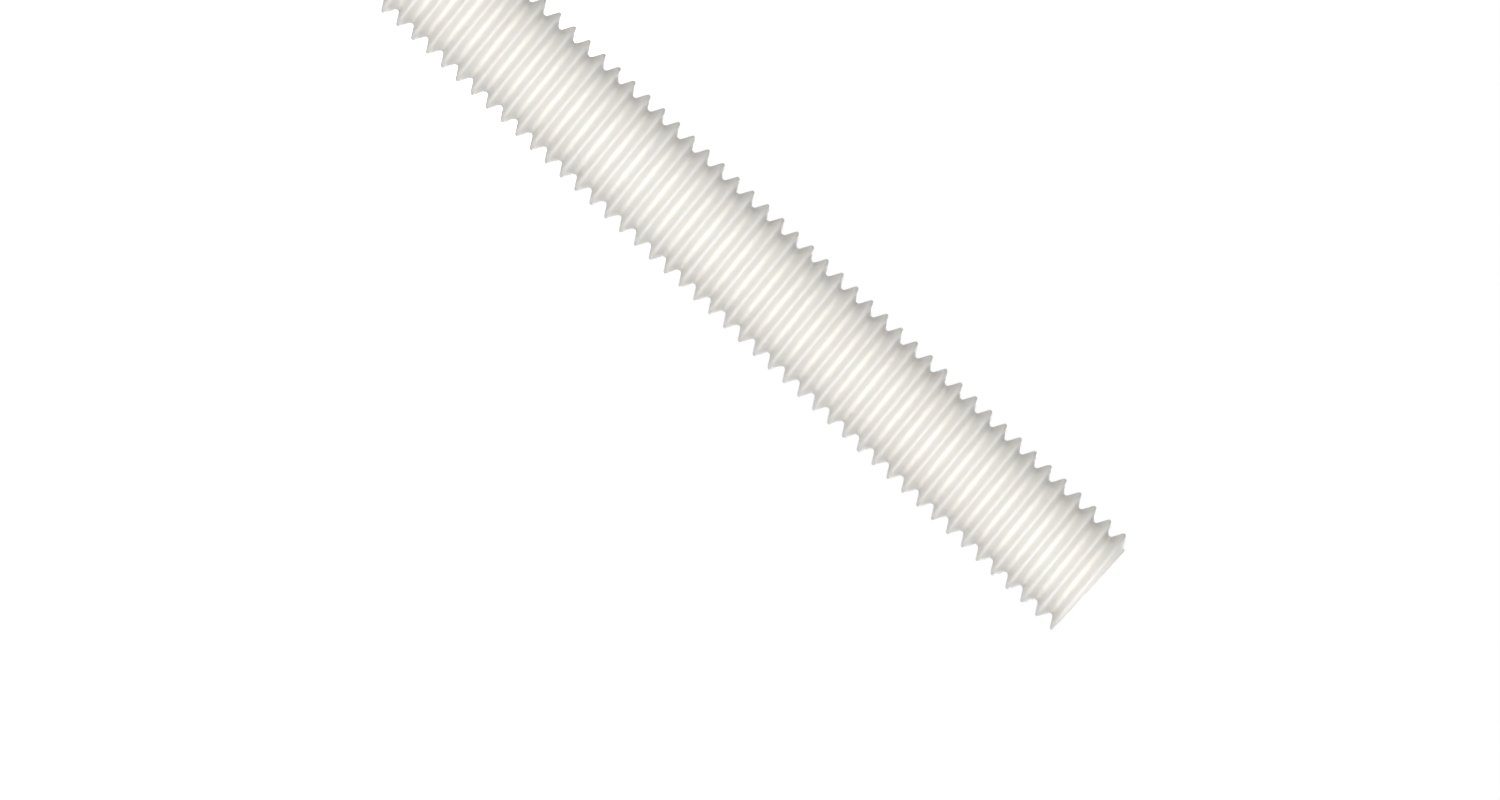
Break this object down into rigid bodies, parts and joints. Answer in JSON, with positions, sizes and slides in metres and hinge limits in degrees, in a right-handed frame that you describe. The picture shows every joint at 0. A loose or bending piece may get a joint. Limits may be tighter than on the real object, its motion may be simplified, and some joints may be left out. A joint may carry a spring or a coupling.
{
  "type": "threaded rod",
  "caption": "Straight plastic rod threaded along its whole length, cut square at both ends, for clamping, spacing or joining parts with nuts or tapped holes.",
  "frame": {"origin": "centre of the lower cut end", "axes": "+Z along the rod's axis, from the lower end to the upper end"},
  "size_m": [0.006, 0.006, 0.05],
  "materials": {
    "nylon": "satin"
  },
  "bodies": {
    "root": {"threaded_rod": "nylon"}
  },
  "joints": []
}
